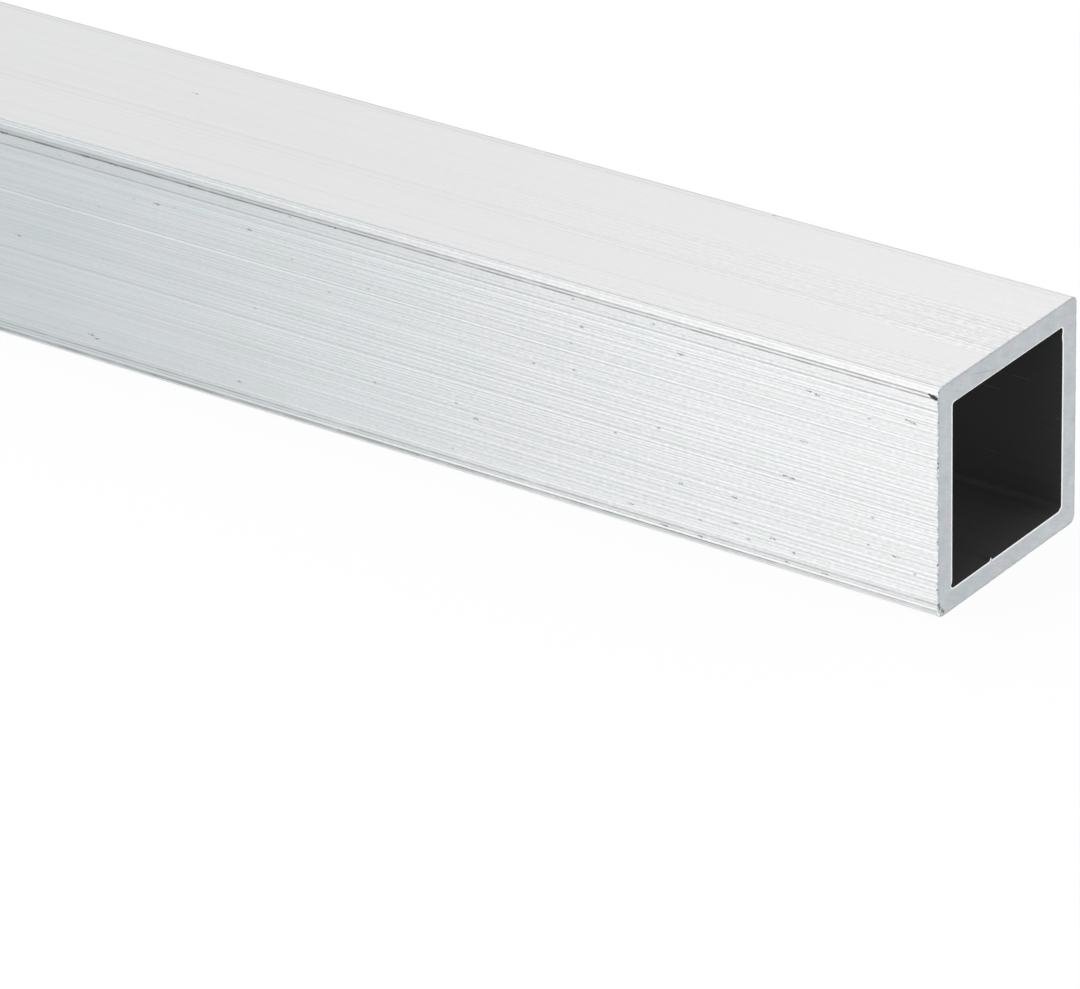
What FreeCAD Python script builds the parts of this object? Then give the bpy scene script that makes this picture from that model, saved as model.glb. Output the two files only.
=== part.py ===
# Square tube of extruded aluminium in mill finish, sawn square to a stock length and deburred.
# The bar lies on one flat side along X, and the origin is at the middle of that side, on the floor.
import FreeCAD, Part
import math
import os

# Section of the extrusion, in millimetres
side = 20.0
wall = 2.0
outer_corner_radius = 0.7
inner_corner_radius = 0.5

# Cut length, and the edges that the deburring tool takes off both ends
length = 300.0
outer_edge_break = 0.08
mouth_edge_break = 0.12

bore = side - 2 * wall
axis_height = side / 2


def section_point(across, up):
    """A point of the section, drawn in the plane of the left end and measured from the tube's axis."""
    return FreeCAD.Vector(-length / 2, across, axis_height + up)


def rounded_square(width, corner_radius):
    """Closed outline of a square with round corners, centred on the tube's axis."""
    centre_reach = width / 2 - corner_radius
    corners = []
    for quarter in range(4):
        start_angle = quarter * math.pi / 2
        middle_angle = start_angle + math.pi / 4
        end_angle = start_angle + math.pi / 2
        centre_across = math.copysign(centre_reach, math.cos(middle_angle))
        centre_up = math.copysign(centre_reach, math.sin(middle_angle))
        corners.append([
            section_point(
                centre_across + corner_radius * math.cos(angle),
                centre_up + corner_radius * math.sin(angle),
            )
            for angle in (start_angle, middle_angle, end_angle)
        ])
    edges = []
    for corner, next_corner in zip(corners, corners[1:] + corners[:1]):
        edges.append(Part.Arc(*corner).toShape())
        edges.append(Part.LineSegment(corner[-1], next_corner[0]).toShape())
    return Part.Wire(edges)


def extruded_bar():
    """The hollow section pushed along X over the cut length, with sharp ends."""
    outline = rounded_square(side, outer_corner_radius)
    hollow = rounded_square(bore, inner_corner_radius)
    section = Part.makeFace([outline, hollow], "Part::FaceMakerBullseye")
    return section.extrude(FreeCAD.Vector(length, 0, 0))


def sawn_faces(bar):
    """The two end faces, which are the only ones that look straight along the tube."""
    return [face for face in bar.Faces if abs(face.normalAt(0, 0).x) > 0.99]


def end_edges(bar, around_bore):
    """The edges of both sawn faces: the ring round the bore's mouth, or the ring round the outside."""
    edges = []
    for face in sawn_faces(bar):
        for ring in face.Wires:
            is_mouth = not ring.isSame(face.OuterWire)
            if is_mouth == around_bore:
                edges.extend(ring.Edges)
    return edges


def square_tube():
    """The finished length of tube: one extrusion, with its sawn edges broken inside and out."""
    bar = extruded_bar()
    bar = bar.makeChamfer(outer_edge_break, end_edges(bar, around_bore=False))
    bar = bar.makeChamfer(mouth_edge_break, end_edges(bar, around_bore=True))
    return bar


os.makedirs("parts", exist_ok=True)
tube = square_tube()
tube.exportStep("parts/square_tube.step")
print("square_tube", "valid", tube.isValid(), "solids", len(tube.Solids), "volume", round(tube.Volume, 2))
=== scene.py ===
import math

import bpy
import numpy as np
from mathutils import Matrix, Vector


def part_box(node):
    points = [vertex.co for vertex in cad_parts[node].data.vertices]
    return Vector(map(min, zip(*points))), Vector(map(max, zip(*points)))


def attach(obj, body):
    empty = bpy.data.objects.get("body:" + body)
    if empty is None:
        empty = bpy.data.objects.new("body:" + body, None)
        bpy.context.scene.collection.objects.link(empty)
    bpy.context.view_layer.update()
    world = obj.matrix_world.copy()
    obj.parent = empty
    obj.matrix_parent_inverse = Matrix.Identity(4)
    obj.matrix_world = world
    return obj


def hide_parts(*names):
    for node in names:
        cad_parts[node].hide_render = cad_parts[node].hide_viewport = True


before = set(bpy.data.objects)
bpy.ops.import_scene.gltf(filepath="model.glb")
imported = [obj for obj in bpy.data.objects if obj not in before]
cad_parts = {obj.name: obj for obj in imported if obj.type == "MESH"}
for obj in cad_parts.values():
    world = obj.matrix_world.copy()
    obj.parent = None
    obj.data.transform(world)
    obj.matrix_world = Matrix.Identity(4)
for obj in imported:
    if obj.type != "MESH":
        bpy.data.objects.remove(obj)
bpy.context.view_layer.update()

# The tube: one length of aluminium pushed hot through a die, which makes it hollow, square and round at
# the corners, and leaves fine lines all along it. It keeps that mill finish, and it is sawn square to
# length at both ends, where a scraper has broken the sharp edges.
mm = 0.001
tube_low, tube_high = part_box("square_tube")
side = tube_high.z - tube_low.z
half_length = (tube_high.x - tube_low.x) / 2
axis_height = side / 2
wall = 2.0 * mm
outer_corner_radius = 0.7 * mm
inner_corner_radius = 0.5 * mm
bore = side - 2 * wall

# The section is drawn in equal steps, so that a step on the outside has its partner in the bore. It goes
# round by the bottom, front, top and back side, each with the corner that follows it.
bottom, front, top, back = range(4)
steps_on_flat = 248
steps_on_corner = 18
steps_on_side = steps_on_flat + steps_on_corner
steps_round = 4 * steps_on_side
flat_reach = side / 2 - outer_corner_radius


def rounded_square(width, corner_radius):
    """Points of a square with round corners, across and up from the tube's axis, and the way out at each."""
    reach = width / 2 - corner_radius
    flat = np.linspace(-reach, reach, steps_on_flat, endpoint=False)
    turn = np.linspace(0, math.pi / 2, steps_on_corner, endpoint=False)
    front_points = np.stack([
        np.concatenate([np.full(steps_on_flat, -width / 2), -reach - corner_radius * np.cos(turn)]),
        np.concatenate([flat, reach + corner_radius * np.sin(turn)]),
    ], 1)
    front_ways_out = np.stack([
        np.concatenate([np.full(steps_on_flat, -1.0), -np.cos(turn)]),
        np.concatenate([np.zeros(steps_on_flat), np.sin(turn)]),
    ], 1)
    # A quarter turn back from the front is the bottom, and each quarter turn on from there the next side
    quarter_turn = np.array([[0, -1.0], [1.0, 0]])
    points, ways_out = front_points @ quarter_turn.T, front_ways_out @ quarter_turn.T
    all_points, all_ways_out = [], []
    for _ in range(4):
        all_points.append(points)
        all_ways_out.append(ways_out)
        points, ways_out = points @ quarter_turn, ways_out @ quarter_turn
    return np.concatenate(all_points), np.concatenate(all_ways_out)


outline, outward = rounded_square(side, outer_corner_radius)
side_of_step = np.repeat(np.arange(4), steps_on_side)
place_on_side = np.tile(np.concatenate([
    np.linspace(-flat_reach, flat_reach, steps_on_flat, endpoint=False),
    flat_reach + outer_corner_radius * np.linspace(0, math.pi / 2, steps_on_corner, endpoint=False),
]), 4)


def bump_on(on_side, place, half_width):
    """A smooth bump of height one round the section, by its side and its place and half width there in mm."""
    away = (place_on_side - place * mm) / (half_width * mm)
    return np.where(side_of_step == on_side, np.exp(-away * away), 0)


# Black dirt lies in the lines that the die has drawn, and the line on the lower front corner is painted
# shade. How much of it is left is given at places from the middle to an end, in half lengths. Where the tube
# was held and sawn, some is wiped off.
line_share_places = (0.45, 0.57, 0.70, 0.83, 0.94)
all_along = (1.0, 1.0, 1.0, 1.0, 1.0)
only_in_middle = (1.0, 0.3, 0.0, 0.0, 0.0)
short_of_ends = (1.0, 1.0, 1.0, 0.7, 0.0)
wiped_at_ends = (0.80, 0.92, 1.50, 1.38, 0.80)
fading_to_ends = (1.50, 1.40, 1.00, 0.75, 0.55)
faint_in_middle = (0.72, 0.86, 1.12, 1.08, 1.06)
only_at_ends = (0.0, 0.0, 0.1, 0.5, 1.0)

# The lines: side, place from the middle of that side, half width and depth in mm, how dark the line is, and
# where along the tube. A place past the flat is on the corner that follows. A depth below nought is a ridge,
# and a darkness below nought is metal rubbed bright. The bright lines on the round top front corner are a
# painted highlight, and the dark line on the lower front corner is painted shade.
die_lines = [
    # A painted highlight: this bright line on the round top front corner
    (front, 9.49, 0.040, -0.001, -1.30, all_along),
    (front, 9.33, 0.050, 0.020, 0.85, faint_in_middle),
    (front, 9.00, 0.060, 0.024, 0.92, all_along),
    (front, 9.10, 0.080, 0.003, 0.34, only_in_middle),
    (front, 9.15, 0.050, -0.001, -1.50, only_at_ends),
    (front, 8.81, 0.055, -0.003, -1.60, all_along),
    (front, 8.40, 0.350, 0.001, 0.025, all_along),
    (front, 8.02, 0.050, 0.008, 0.32, all_along),
    (front, 7.98, 0.060, 0.002, 0.16, only_in_middle),
    (front, 7.78, 0.055, -0.002, -0.50, all_along),
    (front, 3.74, 0.065, -0.001, -8.00, only_in_middle),
    (front, 3.86, 0.055, 0.008, 0.22, all_along),
    (front, 3.72, 0.055, -0.003, -0.60, all_along),
    (front, 3.28, 0.080, 0.005, 0.05, all_along),
    (front, -0.60, 0.080, -0.004, -0.20, all_along),
    (front, -1.45, 0.060, 0.006, 0.14, all_along),
    (front, -2.22, 0.080, -0.004, -0.30, all_along),
    (front, -4.99, 0.080, 0.005, 0.05, all_along),
    (front, -6.32, 0.080, -0.004, -0.20, all_along),
    (front, -7.00, 1.200, 0.001, 0.028, short_of_ends),
    (front, -7.95, 0.080, 0.002, 0.075, all_along),
    (front, -8.15, 0.110, -0.004, -1.50, all_along),
    (front, -8.30, 0.450, 0.001, 0.030, all_along),
    (front, -8.42, 0.090, 0.002, 0.075, all_along),
    (front, -8.72, 0.050, 0.012, 0.66, all_along),
    (front, -8.88, 0.055, -0.002, -1.10, all_along),
    (front, -9.01, 0.045, 0.006, 0.40, all_along),
    (front, -9.10, 0.050, -0.003, -0.80, all_along),
    (front, -9.30, 0.060, 0.012, 0.66, wiped_at_ends),
    (front, 9.62, 0.055, 0.001, 0.05, all_along),
    (front, 9.60, 0.070, 0.001, 0.06, only_at_ends),
    # Painted highlight: the bright lines on the round top front corner here
    (front, 9.79, 0.045, -0.002, -2.80, all_along),
    (front, 10.02, 0.050, -0.002, -2.10, all_along),
    (front, 10.13, 0.045, 0.001, 0.05, all_along),
    (front, 10.36, 0.060, -0.002, -1.20, all_along),
    # Painted shade: the dark line on the lower front corner, where the tube comes down to the floor
    (bottom, 10.26, 0.090, 0.010, 0.46, fading_to_ends),
    (top, 9.41, 0.100, 0.008, 0.34, all_along),
    (top, 8.87, 0.070, 0.004, 0.16, all_along),
    (top, -0.50, 0.060, 0.001, 0.05, all_along),
    (top, -0.30, 0.900, 0.001, 0.028, only_at_ends),
    (top, -1.07, 0.055, -0.001, -0.60, all_along),
    (top, -1.33, 0.055, 0.002, 0.14, all_along),
    (top, -2.33, 0.090, 0.001, 0.09, all_along),
    (top, -6.67, 0.080, 0.001, 0.08, all_along),
    (top, -8.77, 0.060, 0.001, 0.05, all_along),
    (top, -9.50, 0.060, 0.003, 0.12, all_along),
    (back, 9.05, 0.080, 0.010, 0.45, all_along),
    (back, 4.10, 0.080, 0.006, 0.10, all_along),
    (back, -2.70, 0.080, -0.004, -0.40, all_along),
    (back, -6.90, 0.080, 0.006, 0.14, all_along),
    (back, -9.28, 0.060, 0.010, 0.40, all_along),
    (bottom, 9.10, 0.060, 0.008, 0.35, all_along),
    (bottom, 5.60, 0.080, 0.006, 0.10, all_along),
    (bottom, -1.90, 0.080, -0.004, -0.40, all_along),
    (bottom, -7.70, 0.070, 0.008, 0.20, all_along),
]
faintest_stretch = 0.65
rubbed_and_highlight_gain = 1.4

# Between them the whole skin is ribbed finely. Most ribs run the full length, and a weaker set fades from
# stretch to stretch. The top is smooth but for rubbed strips near its middle and at its front and back.
draw = np.random.default_rng(20)
rib_height = {bottom: 0.0040 * mm, front: 0.0040 * mm, top: 0.0006 * mm, back: 0.0040 * mm}
steady_share = 0.95
fading_share = 0.2
highest_rib = 2.5
stretches = 10
widest_rib_blur = 2
rib_strength_blur = 44
side_coarseness = {bottom: 0.8, front: 1.0, top: 0.08, back: 0.8}
side_banding = {bottom: 0.20, front: 0.13, top: 0.05, back: 0.20}
corner_coarseness = 0.6
corner_change = (0.18 * mm, 0.40 * mm)
rubbed_places = [-10, -9.2, -6.2, -5.6, -3.2, -2.6, 2.6, 3.4, 4.5, 8.4, 9.0, 10]
rubbed_share = [0.8, 0.8, 0.6, 0.15, 0.15, 1.0, 1.0, 0.45, 0.22, 0.22, 0.6, 0.6]


def blurred_round(values, times=1):
    """Values round the section, each shared a little with the steps beside it."""
    for _ in range(times):
        values = 0.5 * values + 0.25 * np.roll(values, 1, -1) + 0.25 * np.roll(values, -1, -1)
    return values


def rib_pattern(count):
    """Rib heights round the section, in rows of their own: fine ribs of about one strength all round."""
    ribs = blurred_round(draw.normal(size=(count, steps_round)))
    ribs = ribs - blurred_round(ribs, widest_rib_blur)
    return ribs / np.sqrt(blurred_round(ribs * ribs, rib_strength_blur))


def on_each_side(values):
    """One value for each step round, from a value for each side."""
    return np.array([values[number] for number in side_of_step])


steady_ribs = rib_pattern(1)[0]
fading_ribs = rib_pattern(stretches + 1)
line_strength = draw.uniform(faintest_stretch, 1.0, size=(stretches + 1, len(die_lines)))
rib_height_round = on_each_side(rib_height)
into_corner = np.interp(place_on_side - flat_reach, corner_change, (0, 1))
coarseness_round = on_each_side(side_coarseness) * (1 - into_corner) + corner_coarseness * into_corner
banding_round = on_each_side(side_banding) * (1 - into_corner)
rubbed_round = np.interp(place_on_side / mm, rubbed_places, rubbed_share)


def along_the_stretches(knots, along):
    """Blends values that are drawn at even knots over the length, at one place along it."""
    position = (along + half_length) / (2 * half_length) * stretches
    before = min(int(position), stretches - 1)
    share = position - before
    share = share * share * (3 - 2 * share)
    return knots[before] * (1 - share) + knots[before + 1] * share


def die_relief(along):
    """Depth under the highest rib, tone of the ribs, rubbed lines and painted highlight, and darkness of
    dirty lines and painted shade, all round at one place along.
    """
    ribs = steady_share * steady_ribs + fading_share * along_the_stretches(fading_ribs, along)
    depth = (highest_rib - ribs) * rib_height_round
    tone = ribs.copy()
    dirt_and_shade = np.zeros(steps_round)
    strength = along_the_stretches(line_strength, along)
    for number, (on_side, place, half_width, line_depth, darkness, shares) in enumerate(die_lines):
        line = bump_on(on_side, place, half_width)
        depth += line * line_depth * mm * strength[number]
        share = np.interp(abs(along) / half_length, line_share_places, shares)
        dirt_and_shade += line * max(darkness, 0) * share
        # The bright lines raise the tone, on the round top front corner as a painted highlight
        tone += line * max(-darkness, 0) * share * rubbed_and_highlight_gain
    return np.maximum(depth, 0), tone, np.minimum(dirt_and_shade, 1)


# Each row is one loop of points round the tube, and they follow each other along the outside, over the
# right end, back through the bore and over the left end, so that the last meets the first.
rows, tones, row_dirt_and_shade, bands = [], [], [], []
skin_number, sawn_number, scraped_number, bore_number = range(4)


def add_row(along, points, band, tone=None, dirt_and_shade=None):
    """One row, and what covers the band from it to the next: its material and its strip of the flat map."""
    row = np.empty((steps_round, 3))
    row[:, 0] = along
    row[:, 1] = points[:, 0]
    row[:, 2] = points[:, 1] + axis_height
    rows.append(row)
    tones.append(np.zeros(steps_round) if tone is None else tone)
    row_dirt_and_shade.append(np.zeros(steps_round) if dirt_and_shade is None else dirt_and_shade)
    bands.append(band)


# On the flat map, which the finish is baked to, the skin and the bore run along it and the ends go round
skin_band = (skin_number, "long", 0.004, 0.664)
bore_band = (bore_number, "long", 0.672, 0.782)
ring_strips = {
    "right edge": (0.790, 0.802),
    "right face": (0.806, 0.862),
    "right mouth": (0.866, 0.886),
    "left edge": (0.894, 0.906),
    "left face": (0.910, 0.966),
    "left mouth": (0.970, 0.990),
}


def add_ring(material_number, strip, loops, tone=None, dirt_and_shade=None):
    """The rows of one ring on an end, with even parts of its strip of the flat map."""
    start, end = ring_strips[strip]
    step = (end - start) / len(loops)
    for number, (along, points) in enumerate(loops):
        band = (material_number, "ring", start + number * step, start + (number + 1) * step)
        add_row(along, points, band, tone, dirt_and_shade)


# The saw tears a narrow uneven edge on the outside, most on the front, where the blade came out. Its marks
# on the face are arcs about its arbor, which is far off to the side. How much it tears changes over each
# side, and is given at places in mm from the side's middle.
right_end, left_end = 1, -1
edge_width = {bottom: 0.045 * mm, front: 0.080 * mm, top: 0.040 * mm, back: 0.045 * mm}
edge_wander = {bottom: 0.020 * mm, front: 0.060 * mm, top: 0.015 * mm, back: 0.020 * mm}
edge_blur = 30
edge_slope = 0.8
torn_places = (-9.5, -8.0, 3.0, 5.0)
torn_share = (0.5, 1.25, 1.25, 0.4)
rough_blur = 3
rough_share = 0.36
broad_share = 0.10
face_steps = 8
saw_mark_depth = 0.004 * mm
saw_mark_pitch = 0.55 * mm
saw_mark_sway = 1.5
saw_sway_pitch = 3.1 * mm
arbor = {right_end: (-70 * mm, 95 * mm), left_end: (60 * mm, 100 * mm)}

# The scraper leaves a wider, smoother edge at the bore's mouth. It has pushed the rim a little into the bore
# on the front and the top, and cut it away at the bottom. From the face in, the profile of the mouth has the
# share of its width that is still to go, and the share of its depth.
mouth_width = {bottom: 0.115 * mm, front: 0.200 * mm, top: 0.105 * mm, back: 0.140 * mm}
mouth_rise = {bottom: -0.14 * mm, front: 0.06 * mm, top: 0.035 * mm, back: 0.0}
mouth_corner_radius = 0.30 * mm
mouth_depth = 0.03 * mm
mouth_profile = [(0.60, 0.10), (0.25, 0.35), (0.0, 1.0)]
mouth_wander = 0.020 * mm
mouth_wander_blur = 60
mouth_width_blur = 40
mouth_rise_blur = 10

# At the right end the scraper has left two burrs, and a knock has flattened the lower front corner. A burr
# has its side, its place and half width there, and its height, in mm.
burrs = [(bottom, 2.85, 0.12, 0.26), (back, -8.6, 0.45, 0.09)]
knock_place = 9.9
knock_half_width = 0.35
knock_size = 0.22 * mm


def wander(broad_blur):
    """Uneven values round the section, from nought to one, rough like a torn edge."""
    rough = blurred_round(draw.normal(size=steps_round), rough_blur)
    broad = blurred_round(draw.normal(size=steps_round), broad_blur)
    return np.clip(0.5 + rough_share * rough / rough.std() + broad_share * broad / broad.std(), 0, 1)


def end_rows(end):
    """The rows over one sawn end, from the outside in: the torn edge, the sawn face and the scraped mouth.

    With them come the tone of the skin at its edge, with its painted highlight, and the darkness of its dirty
    lines and painted shade."""
    depth, tone, dirt_and_shade = die_relief(end * half_length)
    skin_points = outline - outward * depth[:, None]
    torn = np.interp(place_on_side / mm, torn_places, torn_share)
    breaks = on_each_side(edge_width) + on_each_side(edge_wander) * torn * (2 * wander(edge_blur) - 1)
    uneven = (2 * wander(mouth_wander_blur) - 1) * mouth_wander
    mouth = blurred_round(on_each_side(mouth_width), mouth_width_blur) + uneven
    rise = blurred_round(on_each_side(mouth_rise), mouth_rise_blur)
    if end == right_end:
        breaks = breaks + knock_size * bump_on(bottom, knock_place, knock_half_width)
        for on_side, place, half_width, height in burrs:
            rise = rise + height * mm * bump_on(on_side, place, half_width)
    edge = [(end * (half_length - breaks), skin_points)]
    face_outline = skin_points - outward * (breaks * edge_slope)[:, None]
    mouth_outline, mouth_outward = rounded_square(bore, mouth_corner_radius)
    mouth_outline = mouth_outline - mouth_outward * rise[:, None]
    rim = mouth_outline + mouth_outward * mouth[:, None]
    face = []
    for number in range(face_steps + 1):
        share = number / face_steps
        points = face_outline * (1 - share) + rim * share
        off_arbor = np.hypot(points[:, 0] - arbor[end][0], points[:, 1] + axis_height - arbor[end][1])
        sway = saw_mark_sway * np.sin(off_arbor / saw_sway_pitch)
        marks = 0.5 + 0.5 * np.sin(off_arbor / saw_mark_pitch * 2 * math.pi + sway)
        face.append((end * (half_length - saw_mark_depth * marks), points))
    scraped_rows = []
    for across_share, depth_share in mouth_profile:
        points = mouth_outline + mouth_outward * (mouth * across_share)[:, None]
        along = end * (half_length - mouth_depth * depth_share)
        scraped_rows.append((np.full(steps_round, along), points))
    return edge, face, scraped_rows, tone, dirt_and_shade


right_edge, right_face, right_mouth, right_tone, right_dirt_and_shade = end_rows(right_end)
left_edge, left_face, left_mouth, left_tone, left_dirt_and_shade = end_rows(left_end)

# Outside, from the left end to the right one
near_end = [0.5 * mm, 1.5 * mm, 3.5 * mm]
even_from = 6 * mm
even_stations = 44
stations = [-half_length + gap for gap in near_end]
stations += list(np.linspace(-half_length + even_from, half_length - even_from, even_stations))
stations += [half_length - gap for gap in reversed(near_end)]
add_row(*left_edge[0], skin_band, left_tone, left_dirt_and_shade)
for station in stations:
    station_depth, station_tone, station_dirt_and_shade = die_relief(station)
    add_row(station, outline - outward * station_depth[:, None], skin_band, station_tone, station_dirt_and_shade)

# Right end, in to the bore
add_ring(sawn_number, "right edge", right_edge, right_tone, right_dirt_and_shade)
add_ring(sawn_number, "right face", right_face[:-1])
add_ring(scraped_number, "right mouth", right_face[-1:] + right_mouth[:-1])
add_row(*right_mouth[-1], bore_band)

# Bore, from the right end to the left one
bore_outline, _ = rounded_square(bore, inner_corner_radius)
bore_near_end = [1 * mm, 4 * mm, 12 * mm, 30 * mm, 70 * mm]
bore_stations = [half_length - gap for gap in bore_near_end]
for station in bore_stations + [0.0] + [-place for place in reversed(bore_stations)]:
    add_row(station, bore_outline, bore_band)

# Left end, from the bore out
add_ring(scraped_number, "left mouth", left_mouth[::-1])
add_ring(sawn_number, "left face", left_face[:0:-1])
add_ring(sawn_number, "left edge", left_face[:1])

# Each step of a row is joined to the same step of the next row, and the last row to the first
row_count = len(rows)
here = np.arange(row_count)[:, None] * steps_round + np.arange(steps_round)[None, :]
beside = np.roll(here, -1, axis=1)
after = np.roll(here, -1, axis=0)
after_beside = np.roll(beside, -1, axis=0)
faces = np.stack([here, after, after_beside, beside], -1).reshape(-1, 4)
finish_numbers = np.repeat([band[0] for band in bands], steps_round).astype(np.int32)
smooth_up_to = math.radians(28)

tube_mesh = bpy.data.meshes.new("extruded_tube")
tube_mesh.from_pydata(np.concatenate(rows).tolist(), [], faces.tolist())
tube_mesh.polygons.foreach_set("use_smooth", np.ones(len(faces), bool))
tube_mesh.polygons.foreach_set("material_index", finish_numbers)
tube_mesh.set_sharp_from_angle(angle=smooth_up_to)

# The ribs' colour contrast grows towards the ends, a painted sheen for the lamp that brings the lines out
# near the right end; the top's rubbed strips grow there too, where it was handled and sawn. Places are shares
# of the way from the middle to an end, with the strength of the ribs, and of the top's rubbed strips, at
# each.
rib_places, rib_crispness_and_sheen = (0.45, 0.75), (0.056, 0.306)
rubbed_along, rubbed_crispness = (0.55, 0.80, 0.93, 0.96), (0.03, 0.11, 0.14, 0.25)
smeared_along, smeared_banding = (0.60, 0.93, 0.96), (0.05, 0.60, 0.90)
corner_crispness = 0.25
coarseness = [coarseness_round] * row_count
bandings, crispness = [], []
for row in rows:
    from_middle = np.abs(row[:, 0]) / half_length
    ribbed = coarseness_round * np.interp(from_middle, rib_places, rib_crispness_and_sheen)
    ribbed = np.maximum(ribbed, into_corner * corner_crispness)
    rubbed = rubbed_round * np.interp(from_middle, rubbed_along, rubbed_crispness)
    smeared = rubbed_round * np.interp(from_middle, smeared_along, smeared_banding)
    crispness.append(np.where(side_of_step == top, np.maximum(rubbed, ribbed), ribbed))
    bandings.append(np.where(side_of_step == top, np.maximum(smeared, banding_round), banding_round))
layers = {
    "rib_tone": tones,
    "line_dirt": row_dirt_and_shade,
    "coarseness": coarseness,
    "banding": bandings,
    "crispness": crispness,
}
for name, values in layers.items():
    layer = tube_mesh.attributes.new(name, "FLOAT", "POINT")
    layer.data.foreach_set("value", np.concatenate(values).astype(np.float32))


def at_face_corners(this_row, next_row):
    """Values at the four corners of each face between two rows, from one more value than there are faces."""
    return np.stack([this_row[:-1], next_row[:-1], next_row[1:], this_row[1:]], 1)


# The flat map, and a second one in metres along the tube and round it
share_round = np.arange(steps_round + 1) / steps_round
step_lengths = np.linalg.norm(np.roll(outline, -1, axis=0) - outline, axis=1)
length_round = np.concatenate([[0], np.cumsum(step_lengths)])
shares_at_corners = at_face_corners(share_round, share_round)
flat_map = np.empty((row_count, steps_round, 4, 2))
metre_map = np.empty((row_count, steps_round, 4, 2))
closed_rows = [np.append(row[:, 0], row[0, 0]) for row in rows]
for number, (_, direction, start, end) in enumerate(bands):
    alongs = at_face_corners(closed_rows[number], closed_rows[(number + 1) % row_count])
    metre_map[number, :, :, 0] = alongs
    metre_map[number, :, :, 1] = at_face_corners(length_round, length_round)
    if direction == "long":
        flat_map[number, :, :, 0] = (alongs + half_length) / (2 * half_length)
        flat_map[number, :, :, 1] = start + (end - start) * shares_at_corners
    else:
        flat_map[number, :, :, 0] = shares_at_corners
        flat_map[number, :, :, 1] = [start, end, end, start]
for name, values in (("OFBake", flat_map), ("metres", metre_map)):
    layer = tube_mesh.uv_layers.new(name=name)
    layer.data.foreach_set("uv", values.astype(np.float32).ravel())
tube_mesh.uv_layers.active = tube_mesh.uv_layers["OFBake"]

tube = bpy.data.objects.new("extruded_tube", tube_mesh)
bpy.context.scene.collection.objects.link(tube)


def new_finish(name):
    """A new material on the tube, and its shader."""
    material = bpy.data.materials.new(name)
    material.use_nodes = True
    tube_mesh.materials.append(material)
    return material, material.node_tree.nodes["Principled BSDF"]


def add_node(material, kind, inputs, **settings):
    """A shader node, with its settings made and its inputs set to values or joined to outputs."""
    node = material.node_tree.nodes.new(kind)
    for name, value in settings.items():
        setattr(node, name, value)
    for name, value in inputs.items():
        if isinstance(value, bpy.types.NodeSocket):
            material.node_tree.links.new(value, node.inputs[name])
        else:
            node.inputs[name].default_value = value
    return node


def join(material, output, shader, name):
    """Joins an output to one of the shader's inputs."""
    material.node_tree.links.new(output, shader.inputs[name])


def maths(material, operation, *values):
    """One sum, on values or other nodes' outputs."""
    return add_node(material, "ShaderNodeMath", dict(enumerate(values)), operation=operation).outputs[0]


def vector_maths(material, operation, inputs):
    """One sum on places or colours, as a node."""
    return add_node(material, "ShaderNodeVectorMath", inputs, operation=operation)


def ramp(material, value, from_range, to_range=(0.0, 1.0)):
    """Takes a value from one range to another, smoothly, and holds it there."""
    (low, high), (to_low, to_high) = from_range, to_range
    inputs = {"Value": value, "From Min": low, "From Max": high, "To Min": to_low, "To Max": to_high}
    node = add_node(material, "ShaderNodeMapRange", inputs, interpolation_type="SMOOTHSTEP")
    return node.outputs["Result"]


def attribute(material, name):
    """The value of one of the mesh's own layers."""
    return add_node(material, "ShaderNodeAttribute", {}, attribute_name=name).outputs["Fac"]


def place_on_tube(material):
    """Where a point lies, in metres along, across and up."""
    return add_node(material, "ShaderNodeTexCoord", {}).outputs["Object"]


def noise(material, per_metre, detail=2.0, roughness=0.55, place=None):
    """Cloudy noise from about 0.25 to 0.75, so many clouds to the metre along, across and up."""
    if place is None:
        place = place_on_tube(material)
    place = vector_maths(material, "MULTIPLY", {0: place, 1: per_metre}).outputs[0]
    inputs = {"Vector": place, "Scale": 1.0, "Detail": detail, "Roughness": roughness}
    return add_node(material, "ShaderNodeTexNoise", inputs).outputs["Fac"]


def mix_colours(material, share, first, second, blend_type="MIX"):
    """Mixes two colours, given as values or as other nodes' outputs."""
    # The node has sockets of the same names for each kind of value, and these are the numbers of the colours'
    share_socket, first_socket, second_socket, mixed_socket = 0, 6, 7, 2
    inputs = {share_socket: share, first_socket: first, second_socket: second}
    node = add_node(material, "ShaderNodeMix", inputs, data_type="RGBA", blend_type=blend_type)
    return node.outputs[mixed_socket]


def toned(material, colour, tone):
    """A colour made darker or lighter by a tone round one."""
    return vector_maths(material, "SCALE", {0: colour, "Scale": tone}).outputs[0]


def add_bump(material, shader, height, depth, strength):
    """Presses a height into the shader's surface."""
    bump = add_node(material, "ShaderNodeBump", {"Strength": strength, "Distance": depth, "Height": height})
    join(material, bump.outputs[0], shader, "Normal")


# Mill finish: a bright drawn skin with a faint blue cast, duller in the furrows. The top is drawn smoothest,
# and its lighter colour is partly painted light; the other sides' darker, bluer colour is partly painted
# shade. The contrasts say how far each noise makes it lighter or darker.
skin, skin_shader = new_finish("mill_finish_skin")
smooth_lit_skin = (0.7206, 0.7328, 0.7404, 1)
drawn_shaded_skin = (0.6220, 0.6655, 0.6830, 1)
greenish_tint = (0.978, 0.998, 0.984, 1)
rosy_tint = (0.999, 0.995, 0.999, 1)
line_contrast = 0.20
cloud_contrast = 0.056
band_contrast = 0.28
scuff_contrast = 0.30
rib_contrast = 0.29
grain_contrast = 0.85
darkest_skin = 0.5
brightest_skin = 1.3
hue_change = (0.36, 0.50)
coarse = attribute(skin, "coarseness")
crisp_and_sheen = attribute(skin, "crispness")
fine_lines = noise(skin, (7, 6500, 6500), roughness=0.6)
broad_bands = noise(skin, (5, 900, 900))
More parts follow.
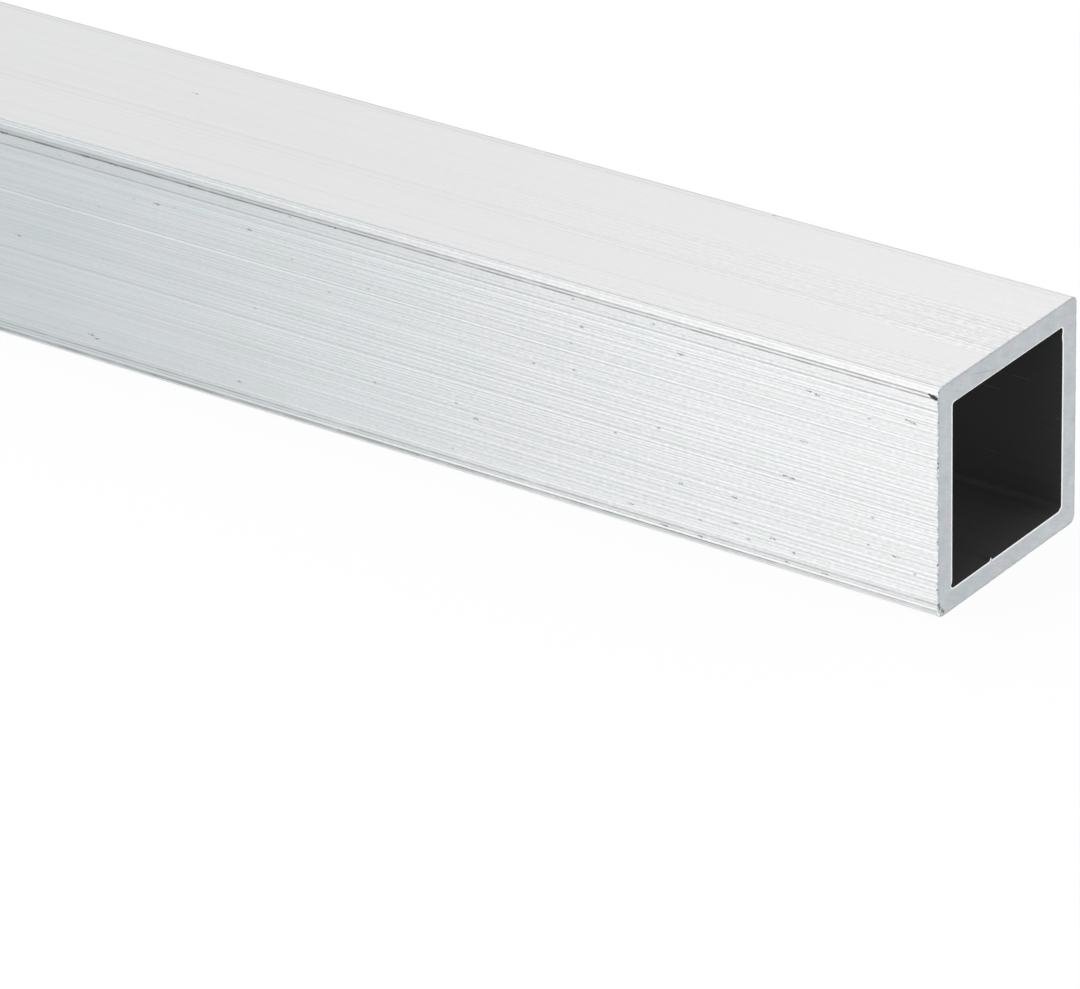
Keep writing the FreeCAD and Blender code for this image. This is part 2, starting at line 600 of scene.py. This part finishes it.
scuffs = noise(skin, (1500, 2400, 2400), detail=1.0)
clouds = noise(skin, (90, 220, 220))
skin_grain = noise(skin, (2300, 7500, 7500), detail=0.0)


def spread(value, strength):
    """A noise's departure from its middle, times a strength."""
    return maths(skin, "MULTIPLY", maths(skin, "SUBTRACT", value, 0.5), strength)


drawn = maths(skin, "ADD", spread(fine_lines, line_contrast), spread(clouds, cloud_contrast))
banded = maths(skin, "ADD", spread(broad_bands, band_contrast), spread(scuffs, scuff_contrast))
rib_tone = attribute(skin, "rib_tone")
ribbed = maths(skin, "MULTIPLY_ADD", rib_tone, rib_contrast, spread(skin_grain, grain_contrast))
lightness = maths(skin, "ADD", maths(skin, "MULTIPLY", drawn, coarse), 1.0)
lightness = maths(skin, "MULTIPLY_ADD", banded, attribute(skin, "banding"), lightness)
# The ribs' tone grows towards the ends as painted sheen, and on the top front corner holds a painted
# highlight
lightness = maths(skin, "MULTIPLY_ADD", ribbed, crisp_and_sheen, lightness)
lightness = maths(skin, "MINIMUM", maths(skin, "MAXIMUM", lightness, darkest_skin), brightest_skin)
# The top's lighter colour and the other sides' darker, bluer one are partly painted light and painted shade
skin_colour = mix_colours(skin, coarse, smooth_lit_skin, drawn_shaded_skin)
hue = ramp(skin, noise(skin, (250, 700, 700)), hue_change)
tint = mix_colours(skin, hue, greenish_tint, rosy_tint)
tinted_skin = mix_colours(skin, 1.0, skin_colour, tint, "MULTIPLY")
skin_colour = mix_colours(skin, coarse, skin_colour, tinted_skin)
skin_colour = toned(skin, skin_colour, lightness)

# Black dirt in the die's lines, and painted shade in the line on the lower front corner, thinner in some
# patches
dirt_and_shade_colour = (0.105, 0.105, 0.105, 1)
patch_edge = (0.30, 0.62)
patch_dirt = (0.55, 1.0)
patchy = ramp(skin, noise(skin, (300, 900, 900), roughness=0.6), patch_edge, patch_dirt)
dirt_and_shade_share = maths(skin, "MULTIPLY", attribute(skin, "line_dirt"), patchy)
skin_colour = mix_colours(skin, dirt_and_shade_share, skin_colour, dirt_and_shade_colour)


def from_nearest(material, spots, half_sizes, place=None, shortfalls=None):
    """Distance from the nearest of some spots, in half sizes of a spot. Each may fall short by a share."""
    far_off = 9.0
    if place is None:
        place = place_on_tube(material)
    scale = [1 / half_size for half_size in half_sizes]
    place = vector_maths(material, "MULTIPLY", {0: place, 1: scale}).outputs[0]
    nearest = far_off
    for number, spot in enumerate(spots):
        centre = [at * times for at, times in zip(spot, scale)]
        away = vector_maths(material, "DISTANCE", {0: place, 1: centre}).outputs["Value"]
        if shortfalls:
            away = maths(material, "ADD", away, shortfalls[number])
        nearest = maths(material, "MINIMUM", nearest, away)
    return nearest


def frayed(material, nearest, fray, fray_share, fading, strength=1.0):
    """How much shows of spots with frayed edges: all of it within the fading distances, none beyond them."""
    nearest = maths(material, "MULTIPLY_ADD", fray, fray_share, nearest)
    return ramp(material, nearest, fading, (strength, 0.0))


# Nicks from the saw table and the rack, painted dark, partly as painted shade in their small dents: places in
# mm along and up the front side, and along and across the top. They show most where the finish is crisp and
# the ribs carry painted sheen.
nick_half_sizes = (0.30 * mm, 0.085 * mm, 0.085 * mm)
nick_fading = (2.1, 3.0)
nick_fray = 3.5
crisp_and_sheen_range = (0.05, 0.30)
nick_shares = (0.55, 0.62)
front_nicks = [
    (147.2, 16.55), (147.8, 16.45), (138.2, 16.6), (138.8, 16.5), (126.0, 16.6), (116.5, 16.5), (83.5, 16.6),
    (74.0, 16.5), (137.6, 12.1), (135.8, 8.65), (136.5, 8.58), (131.0, 5.4), (125.8, 5.2), (105.8, 5.5),
    (59.0, 9.9), (66.3, 2.6), (66.9, 2.4), (134.6, 2.75), (131.0, 3.1), (132.2, 2.05), (120.9, 2.05),
    (136.6, 2.05), (146.0, 4.4), (81.8, 2.4), (124.0, 1.05), (124.4, 1.02), (127.7, 1.03), (135.8, 1.05),
    (139.5, 1.03), (58.0, 19.0), (58.2, 19.0), (66.4, 19.0), (66.8, 19.0), (69.4, 19.0), (69.8, 19.0),
    (77.4, 19.0), (77.6, 19.0), (91.8, 19.0), (92.1, 19.0),
]
top_nicks = [(122.0, 9.25), (68.0, 3.2)]
nicks = [(along * mm, -side / 2, up * mm) for along, up in front_nicks]
nicks += [(along * mm, across * mm, side) for along, across in top_nicks]
fray = noise(skin, (4500, 7000, 7000), detail=1.0)
nick_here = frayed(skin, from_nearest(skin, nicks, nick_half_sizes), fray, nick_fray, nick_fading)
nick_here = maths(skin, "MULTIPLY", nick_here, ramp(skin, crisp_and_sheen, crisp_and_sheen_range, nick_shares))
skin_colour = mix_colours(skin, nick_here, skin_colour, dirt_and_shade_colour)

# Where the pair of lines at the top of the front reaches the saw cut, the torn metal between them holds a
# drop of dirt, which runs out thin along the upper line. Its spots have their places in mm along and up.
drop_colour = (0.05, 0.05, 0.05, 1)
drop_half_sizes = (0.34 * mm, 0.18 * mm, 0.18 * mm)
drop_fading = (1.3, 1.8)
drop_fray = 1.2
drop = [(149.76, 19.10), (149.52, 19.18), (149.26, 19.26)]
drop_shortfalls = (0.0, 0.10, 0.40)
drop_spots = [(along * mm, -side / 2, up * mm) for along, up in drop]
from_drop = from_nearest(skin, drop_spots, drop_half_sizes, shortfalls=drop_shortfalls)
drop_here = frayed(skin, from_drop, fray, drop_fray, drop_fading)
skin_colour = mix_colours(skin, drop_here, skin_colour, drop_colour)

# Small pits are strewn over the drawn sides: a few of the cells of a net over the skin hold one
cells_per_metre = (250, 500, 1)
pit_fading = (0.02, 0.06)
pit_chances = (0.84, 0.88)
pit_shares = (0.15, 0.50)
net = add_node(skin, "ShaderNodeUVMap", {}, uv_map="metres").outputs["UV"]
net = vector_maths(skin, "MULTIPLY", {0: net, 1: cells_per_metre}).outputs[0]
pits = add_node(skin, "ShaderNodeTexVoronoi", {"Vector": net, "Scale": 1.0}, voronoi_dimensions="2D")
pit_chance = add_node(skin, "ShaderNodeSeparateColor", {0: pits.outputs["Color"]}).outputs[0]
pit_near = ramp(skin, pits.outputs["Distance"], pit_fading, (1.0, 0.0))
pit_here = maths(skin, "MULTIPLY", pit_near, ramp(skin, pit_chance, pit_chances))
pit_share = ramp(skin, crisp_and_sheen, crisp_and_sheen_range, pit_shares)
pit_here = maths(skin, "MULTIPLY", maths(skin, "MULTIPLY", pit_here, coarse), pit_share)
skin_colour = mix_colours(skin, pit_here, skin_colour, dirt_and_shade_colour)

# The drawn lines spread the shine across them, and the furrows are the rougher
shine_spread = 0.88
line_range = (0.25, 0.75)
skin_roughness = (0.53, 0.45)
skin_line_depth = 0.020 * mm
join(skin, skin_colour, skin_shader, "Base Color")
skin_shader.inputs["Metallic"].default_value = 1.0
skin_shader.inputs["Anisotropic"].default_value = shine_spread
across_the_lines = add_node(skin, "ShaderNodeTangent", {}, direction_type="RADIAL", axis="X")
join(skin, across_the_lines.outputs[0], skin_shader, "Tangent")
join(skin, ramp(skin, fine_lines, line_range, skin_roughness), skin_shader, "Roughness")
add_bump(skin, skin_shader, fine_lines, skin_line_depth, strength=1.0)

# Sawn face: cold grey and finely torn, with a violet cast here and there. Its dark grey is partly painted
# shade, as the end faces away from the lamps.
sawn, sawn_shader = new_finish("sawn_face")
sawn_dark = (0.518, 0.557, 0.575, 1)
sawn_light = (0.582, 0.615, 0.628, 1)
sawn_violet = (0.568, 0.564, 0.606, 1)
cloud_edge = (0.3, 0.7)
violet_edge = (0.50, 0.66)
violet_share = (0.0, 0.9)
sawn_grain = noise(sawn, (4000, 4000, 4000), detail=3.0, roughness=0.7)
sawn_clouds = noise(sawn, (600, 600, 600), detail=3.0)
sawn_colour = mix_colours(sawn, ramp(sawn, sawn_clouds, cloud_edge), sawn_dark, sawn_light)
violet_here = ramp(sawn, noise(sawn, (420, 420, 420)), violet_edge, violet_share)
sawn_colour = mix_colours(sawn, violet_here, sawn_colour, sawn_violet)


def turned(material, centre, slant):
    """Places turned about the tube's length, so that what slants on the end lies level."""
    inputs = {"Vector": place_on_tube(material), "Center": centre, "Axis": (1, 0, 0), "Angle": slant}
    return add_node(material, "ShaderNodeVectorRotate", inputs).outputs[0]


# The blade's marks: fine streaks along its arcs, which are nearly straight over so small an end
blade_slant = math.radians(25)
streak_contrast = 0.18
streak_place = turned(sawn, (0, 0, 0), blade_slant)
streaks = noise(sawn, (400, 500, 4000), detail=1.0, roughness=0.5, place=streak_place)
sawn_tone = maths(sawn, "MULTIPLY_ADD", streaks, streak_contrast, 1 - streak_contrast / 2)

# Close inside the outer edge the face is a little duller, where the metal gave way before the blade
dull_inner = (side / 2 - 0.25 * mm, side / 2 - 0.13 * mm)
dull_outer = (side / 2 - 0.09 * mm, side / 2 - 0.03 * mm)
dulling = -0.11
on_end = add_node(sawn, "ShaderNodeSeparateXYZ", {0: place_on_tube(sawn)})
across = maths(sawn, "ABSOLUTE", on_end.outputs["Y"])
up = maths(sawn, "ABSOLUTE", maths(sawn, "SUBTRACT", on_end.outputs["Z"], axis_height))
off_axis = maths(sawn, "MAXIMUM", across, up)
off_edge = ramp(sawn, off_axis, dull_outer, (1.0, 0.0))
dull_here = maths(sawn, "MULTIPLY", ramp(sawn, off_axis, dull_inner), off_edge)
sawn_colour = toned(sawn, sawn_colour, maths(sawn, "MULTIPLY_ADD", dull_here, dulling, sawn_tone))

# Where the cut has torn the outer edge, specks are painted bright as painted glints, and small hollows dark
# as painted shade
painted_torn_glint = (0.86, 0.87, 0.88, 1)
painted_hollow_shade = (0.16, 0.17, 0.18, 1)
torn_behind = (half_length - 0.030 * mm, half_length - 0.012 * mm)
torn_cover = (0.9, 0.0)
speck_edge = (0.50, 0.60)
hollow_edge = (0.58, 0.66)
torn_here = ramp(sawn, maths(sawn, "ABSOLUTE", on_end.outputs["X"]), torn_behind, torn_cover)
glint_specks = ramp(sawn, noise(sawn, (2500, 2500, 2500), detail=1.0), speck_edge)
shaded_hollows = ramp(sawn, noise(sawn, (2900, 2900, 2900), detail=1.0), hollow_edge)
sawn_colour = mix_colours(sawn, maths(sawn, "MULTIPLY", torn_here, glint_specks), sawn_colour, painted_torn_glint)
sawn_colour = mix_colours(sawn, maths(sawn, "MULTIPLY", torn_here, shaded_hollows), sawn_colour, painted_hollow_shade)

# The knock's dent in the lower front corner of the right end is painted dark, as painted shade in the dent,
# at these places across and up in mm
knock_colour = (0.12, 0.12, 0.12, 1)
knock_half_sizes = (0.5 * mm, 0.16 * mm, 0.16 * mm)
knock_fading = (1.3, 2.1)
knock_fray = 1.6
knock_strength = 0.75
knock_shade_places = [(-9.86, 1.25), (-9.72, 0.95), (-9.45, 0.62), (-9.22, 0.40)]
knock_spots = [(half_length, spot_across * mm, spot_up * mm) for spot_across, spot_up in knock_shade_places]
from_knock = from_nearest(sawn, knock_spots, knock_half_sizes)
knock_here = frayed(sawn, from_knock, sawn_grain, knock_fray, knock_fading, knock_strength)
sawn_colour = mix_colours(sawn, knock_here, sawn_colour, knock_colour)

# A faint scratch slants over the top wall of the right end
scratch_colour = (0.45, 0.42, 0.48, 1)
scratch_centre = (half_length, -3.6 * mm, 18.8 * mm)
scratch_slant = math.radians(15.7)
scratch_half_sizes = (1.0 * mm, 2.6 * mm, 0.060 * mm)
scratch_fading = (1.0, 1.5)
scratch_fray = 0.8
scratch_strength = 0.8
levelled = turned(sawn, scratch_centre, scratch_slant)
from_scratch = from_nearest(sawn, [scratch_centre], scratch_half_sizes, place=levelled)
scratch_here = frayed(sawn, from_scratch, sawn_grain, scratch_fray, scratch_fading, scratch_strength)
sawn_colour = mix_colours(sawn, scratch_here, sawn_colour, scratch_colour)

# The torn grain of the cut makes it dull
grain_range = (0.2, 0.8)
sawn_roughness = (0.50, 0.62)
sawn_grain_depth = 0.02 * mm
join(sawn, sawn_colour, sawn_shader, "Base Color")
sawn_shader.inputs["Metallic"].default_value = 1.0
join(sawn, ramp(sawn, sawn_grain, grain_range, sawn_roughness), sawn_shader, "Roughness")
add_bump(sawn, sawn_shader, sawn_grain, sawn_grain_depth, strength=0.5)

# Scraped edges: clean bright metal, shinier in some patches
scraped, scraped_shader = new_finish("scraped_edge")
scraped_dark = (0.84, 0.85, 0.86, 1)
scraped_light = (0.96, 0.96, 0.96, 1)
scraped_range = (0.3, 0.7)
scraped_roughness = (0.25, 0.45)
scraped_depth = 0.01 * mm
scraped_colour = mix_colours(scraped, noise(scraped, (2500, 2500, 2500)), scraped_dark, scraped_light)
join(scraped, scraped_colour, scraped_shader, "Base Color")
scraped_shader.inputs["Metallic"].default_value = 1.0
scraped_patches = noise(scraped, (1800, 1800, 1800))
join(scraped, ramp(scraped, scraped_patches, scraped_range, scraped_roughness), scraped_shader, "Roughness")
add_bump(scraped, scraped_shader, noise(scraped, (6000, 6000, 6000)), scraped_depth, strength=0.4)

# Bore: dark and dull from end to end, with a few pale scratches along it. It is painted paler further from
# the ends, as painted light against the shade deep inside.
bore_wall, bore_shader = new_finish("bore_wall")
bore_dark = (0.036, 0.036, 0.037, 1)
bore_light = (0.050, 0.050, 0.051, 1)
bore_painted_light = (0.150, 0.150, 0.151, 1)
bore_scratch = (0.25, 0.25, 0.26, 1)
bore_scratch_edge = (0.70, 0.76)
bore_scratch_share = 0.2
bore_scratch_depth = 0.01 * mm
bore_gloss = 0.15
bore_roughness = (0.75, 0.45)
near_mouth = (half_length - 20 * mm, half_length - 1 * mm)
bore_streaks = noise(bore_wall, (60, 1500, 1500), detail=3.0)
bore_colour = mix_colours(bore_wall, bore_streaks, bore_dark, bore_light)
along_bore = add_node(bore_wall, "ShaderNodeSeparateXYZ", {0: place_on_tube(bore_wall)}).outputs["X"]
inside = ramp(bore_wall, maths(bore_wall, "ABSOLUTE", along_bore), near_mouth, (1.0, 0.0))
bore_colour = mix_colours(bore_wall, inside, bore_colour, bore_painted_light)
scratches = ramp(bore_wall, noise(bore_wall, (220, 2600, 2600)), bore_scratch_edge)
faint_scratches = maths(bore_wall, "MULTIPLY", scratches, bore_scratch_share)
bore_colour = mix_colours(bore_wall, faint_scratches, bore_colour, bore_scratch)
join(bore_wall, bore_colour, bore_shader, "Base Color")
bore_shader.inputs["Specular IOR Level"].default_value = bore_gloss
join(bore_wall, ramp(bore_wall, scratches, (0.0, 1.0), bore_roughness), bore_shader, "Roughness")
add_bump(bore_wall, bore_shader, scratches, bore_scratch_depth, strength=0.4)

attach(tube, "root")
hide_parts("square_tube")

# The floor: a plain white sheet of paper that the tube lies on, cut round and far wider than the tube. It
# shows white to the camera and in the metal, and keeps a faint shadow.
floor_radii = [0.4, 1.2, 4.0]
floor_sides = 48
floor_points = [(0.0, 0.0, 0.0)]
floor_faces = []
for ring, radius in enumerate(floor_radii):
    first = len(floor_points)
    for number in range(floor_sides):
        angle = 2 * math.pi * number / floor_sides
        floor_points.append((radius * math.cos(angle), radius * math.sin(angle), 0.0))
    for number in range(floor_sides):
        following = (number + 1) % floor_sides
        if ring == 0:
            floor_faces.append((0, first + number, first + following))
        else:
            inner = first - floor_sides
            floor_faces.append((inner + number, first + number, first + following, inner + following))
floor_mesh = bpy.data.meshes.new("floor")
floor_mesh.from_pydata(floor_points, [], floor_faces)
floor = bpy.data.objects.new("floor", floor_mesh)
bpy.context.scene.collection.objects.link(floor)

paper = bpy.data.materials.new("white_paper")
paper.use_nodes = True
floor_mesh.materials.append(paper)
paper_white = (0.93, 0.95, 0.96, 1)
paper_roughness = 0.9
glow_share = 0.92
paper_shader = paper.node_tree.nodes["Principled BSDF"]
paper_shader.inputs["Base Color"].default_value = paper_white
paper_shader.inputs["Roughness"].default_value = paper_roughness
paper_shader.inputs["Specular IOR Level"].default_value = 0.0
glow = add_node(paper, "ShaderNodeEmission", {"Color": (1, 1, 1, 1), "Strength": 1.0})
light_path = add_node(paper, "ShaderNodeLightPath", {})
seen = maths(paper, "MAXIMUM", light_path.outputs["Is Camera Ray"], light_path.outputs["Is Glossy Ray"])
seen = maths(paper, "MAXIMUM", seen, light_path.outputs["Is Transmission Ray"])
paper_mix = add_node(paper, "ShaderNodeMixShader", {
    0: maths(paper, "MULTIPLY", seen, glow_share),
    1: paper_shader.outputs[0],
    2: glow.outputs[0],
})
paper.node_tree.links.new(paper_mix.outputs[0], paper.node_tree.nodes["Material Output"].inputs["Surface"])
paper.cycles.emission_sampling = "NONE"

# The light: an even white room, and three soft lamps of a slightly rosy white, low in front of the tube,
# over it, and far behind it.
room = bpy.data.worlds.new("white_room")
room.use_nodes = True
room.node_tree.nodes["Background"].inputs["Color"].default_value = (1, 1, 1, 1)
room.node_tree.nodes["Background"].inputs["Strength"].default_value = 1.0
bpy.context.scene.world = room


def soft_lamp(name, place, aim, width, height, watts, colour):
    """A rectangular area lamp, aimed at a point, that the camera doesn't see."""
    data = bpy.data.lights.new(name, "AREA")
    data.shape = "RECTANGLE"
    data.size = width
    data.size_y = height
    data.energy = watts
    data.color = colour
    lamp = bpy.data.objects.new(name, data)
    lamp.location = place
    lamp.rotation_euler = (Vector(aim) - Vector(place)).to_track_quat("-Z", "Y").to_euler()
    lamp.visible_camera = False
    bpy.context.scene.collection.objects.link(lamp)


warm_white = (1.0, 0.88, 0.83)
rosy_white = (1.0, 0.84, 0.79)
near_right_end = (0.13, 0.0, 0.01)
near_middle = (0.05, 0.0, 0.01)
soft_lamp("front_lamp", place=(-0.02, -0.37, 0.045), aim=near_right_end,
          width=0.16, height=0.09, watts=0.325, colour=rosy_white)
soft_lamp("top_lamp", place=(0.01, 0.05, 0.33), aim=near_right_end,
          width=0.14, height=0.14, watts=0.055, colour=warm_white)
soft_lamp("back_lamp", place=(-0.95, 1.44, 0.91), aim=near_middle,
          width=1.2, height=0.9, watts=2.1, colour=warm_white)

# The camera: a long lens, 36 degrees round from square on and 27 degrees up, a little off level, with the
# right end in view.
view_round = math.radians(36.1406)
view_up = math.radians(27.0303)
view_roll = math.radians(-1.4442)
view_distance = 0.62629
aim_point = Vector((0.104758, 0.0, -0.005914))
sensor_width = 36.0
lens_length = 254.517
nearest_seen = 0.05
back_to_camera = Vector((
    math.sin(view_round) * math.cos(view_up),
    -math.cos(view_round) * math.cos(view_up),
    math.sin(view_up),
))
level_right = Vector((0, 0, 1)).cross(back_to_camera).normalized()
level_up = back_to_camera.cross(level_right)
picture_right = level_right * math.cos(view_roll) + level_up * math.sin(view_roll)
picture_up = level_up * math.cos(view_roll) - level_right * math.sin(view_roll)
camera_data = bpy.data.cameras.new("camera")
camera_data.sensor_fit = "HORIZONTAL"
camera_data.sensor_width = sensor_width
camera_data.lens = lens_length
camera_data.clip_start = nearest_seen
camera = bpy.data.objects.new("camera", camera_data)
turn = Matrix((picture_right, picture_up, back_to_camera)).transposed()
camera.matrix_world = Matrix.Translation(aim_point + back_to_camera * view_distance) @ turn.to_4x4()
bpy.context.scene.collection.objects.link(camera)
bpy.context.scene.camera = camera
bpy.context.scene.view_settings.view_transform = "Standard"
